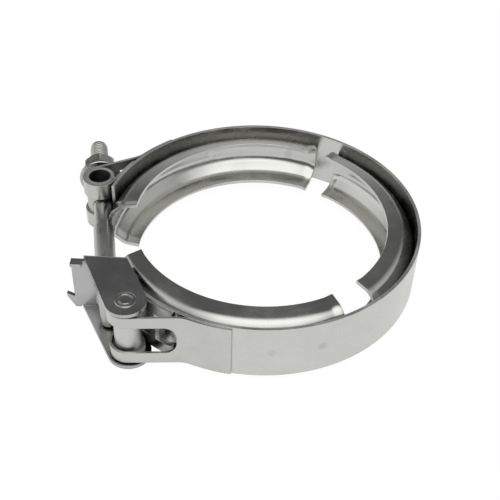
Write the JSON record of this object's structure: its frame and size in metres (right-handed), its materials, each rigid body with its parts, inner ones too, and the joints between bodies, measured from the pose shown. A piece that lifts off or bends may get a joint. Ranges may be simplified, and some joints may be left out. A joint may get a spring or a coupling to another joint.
{
  "type": "quick-release V-band clamp",
  "caption": "Quick-release V-band clamp: polished steel band with V retainers, trunnion T-bolt with flange nut, and a riveted over-centre release hook.",
  "frame": {"origin": "centre of the ring, on the retainers' mid-plane", "axes": "+Z along the ring's axis, out of the side that shows the rivet head; the latch is on the -X side, with the nut end towards +Y"},
  "size_m": [0.115, 0.1024, 0.0242],
  "materials": {
    "band_steel": "satin",
    "retainer_steel": "polished",
    "strap_steel": "satin",
    "hook_steel": "polished",
    "bolt_steel": "satin"
  },
  "bodies": {
    "clamp": {"outer_band": "band_steel", "far_retainer": "retainer_steel", "near_retainer": "retainer_steel", "right_retainer": "retainer_steel", "lower_loop_strap": "strap_steel", "upper_loop_strap": "strap_steel", "pivot_barrel": "strap_steel"},
    "hook": {"release_hook": "hook_steel", "hook_rivet": "bolt_steel"},
    "trunnion_body": {"trunnion": "strap_steel"},
    "bolt": {"t_bolt": "bolt_steel"},
    "nut": {"flange_nut": "bolt_steel"}
  },
  "joints": [
    {"name": "hook_swing", "type": "hinge", "parent": "clamp", "child": "hook", "pos_m": [-0.03742, -0.0432, 0], "axis": [0, 0, 1], "range_deg": [0, 110]},
    {"name": "trunnion_swing", "type": "hinge", "parent": "clamp", "child": "trunnion_body", "pos_m": [-0.05457, 0.01663, 0], "axis": [0, 0, 1], "range_deg": [-12, 0]},
    {"name": "bolt_slide", "type": "slide", "parent": "trunnion_body", "child": "bolt", "axis": [0.1928, -0.9812, 0], "range_m": [0, 0.0018]},
    {"name": "nut_turn", "type": "hinge", "parent": "bolt", "child": "nut", "pos_m": [-0.05766, 0.03233, 0], "axis": [-0.1928, 0.9812, 0], "continuous": true}
  ],
  "couplings": [
    {"joint": "trunnion_swing", "follows": "hook_swing", "ratio": -0.1}
  ]
}
